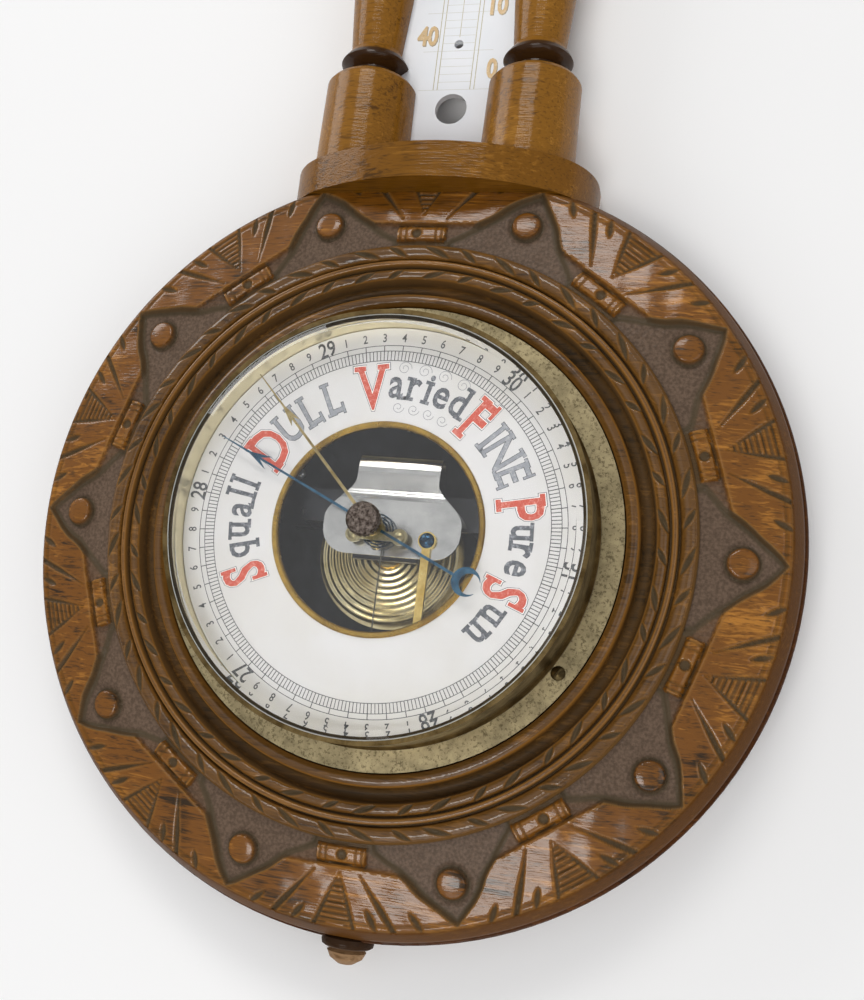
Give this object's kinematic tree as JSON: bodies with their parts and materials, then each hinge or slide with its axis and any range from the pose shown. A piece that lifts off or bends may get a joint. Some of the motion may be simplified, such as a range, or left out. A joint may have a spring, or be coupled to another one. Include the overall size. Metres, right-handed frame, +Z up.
{
  "type": "banjo barometer",
  "caption": "Banjo wall barometer with a carved round head, an open aneroid dial under bevelled glass, and a thermometer plate between turned columns.",
  "frame": {"origin": "on the dial axis, in the plane of the wall", "axes": "+Z up, +X to the viewer's right, +Y into the wall; the dial faces -Y"},
  "size_m": [0.2872, 0.0652, 0.6026],
  "materials": {
    "carved_wood": "glossy varnish",
    "dark_wood": "glossy dark varnish",
    "brass": "polished, a little worn",
    "aged_brass": "dull, tarnished olive",
    "bronzed_brass": "dark brown, mottled",
    "steel": "polished",
    "blued_steel": "heat blued",
    "black_japan": "black japan",
    "porcelain": "white glaze",
    "opal_glass": "milk white, glossy",
    "clear_glass": "clear, bevelled edge"
  },
  "bodies": {
    "case": {"case_back": "dark_wood", "carved_surround": "carved_wood", "lower_plinth": "carved_wood", "left_column": "carved_wood", "right_column": "carved_wood", "upper_plinth": "carved_wood", "crest": "carved_wood", "drop_finial": "dark_wood", "thermometer_plate": "opal_glass", "hanger_plate": "brass", "hanger_screws": "brass", "drum_case": "aged_brass", "flange_screws": "brass", "bezel": "brass", "glass": "clear_glass", "dial": "porcelain", "hole_ring": "brass", "arbor_cock": "brass", "cock_pillars": "brass", "cock_screws": "brass", "hairspring": "blued_steel", "chain": "steel", "rocker_brackets": "brass", "spring_screws": "steel", "bridge": "black_japan", "bridge_screws": "steel", "capsule": "brass", "base_plate": "black_japan", "base_screws": "steel"},
    "set_pointer": {"set_knob": "bronzed_brass", "set_spindle": "brass", "set_hand": "brass"},
    "pointer": {"indicator_hand": "blued_steel", "centre_arbor": "steel"},
    "rocker": {"rocker_shaft": "steel"},
    "lever_arm": {"lever": "brass", "lever_screw": "blued_steel", "link": "brass", "main_spring": "steel", "capsule_post": "brass", "knife_edge": "steel"},
    "adjuster": {"adjusting_screw": "steel"}
  },
  "joints": [
    {"name": "set_turn", "type": "hinge", "parent": "case", "child": "set_pointer", "pos_m": [0, -0.059, 0], "axis": [0, 1, 0], "continuous": true},
    {"name": "pointer_turn", "type": "hinge", "parent": "case", "child": "pointer", "pos_m": [0, -0.0428, 0], "axis": [0, 1, 0], "range_deg": [-138, 162], "stiffness_Nm_per_rad": 0.002, "deforming": ["hairspring"]},
    {"name": "rocker_turn", "type": "hinge", "parent": "case", "child": "rocker", "pos_m": [0.0065, -0.0262, -0.046], "axis": [1, 0, 0], "range_deg": [-17.1, 20.05], "deforming": ["chain"]},
    {"name": "lever_bend", "type": "hinge", "parent": "case", "child": "lever_arm", "pos_m": [0.0038, -0.02945, 0.016], "axis": [1, 0, 0], "range_deg": [-1.52, 1.78], "deforming": ["main_spring", "capsule"]},
    {"name": "adjust_turn", "type": "hinge", "parent": "case", "child": "adjuster", "pos_m": [0, -0.007, -0.02], "axis": [0, 1, 0], "range_deg": [-180, 180]}
  ],
  "couplings": [
    {"joint": "rocker_turn", "follows": "pointer_turn", "ratio": 0.12329},
    {"joint": "lever_bend", "follows": "pointer_turn", "ratio": 0.010878}
  ]
}
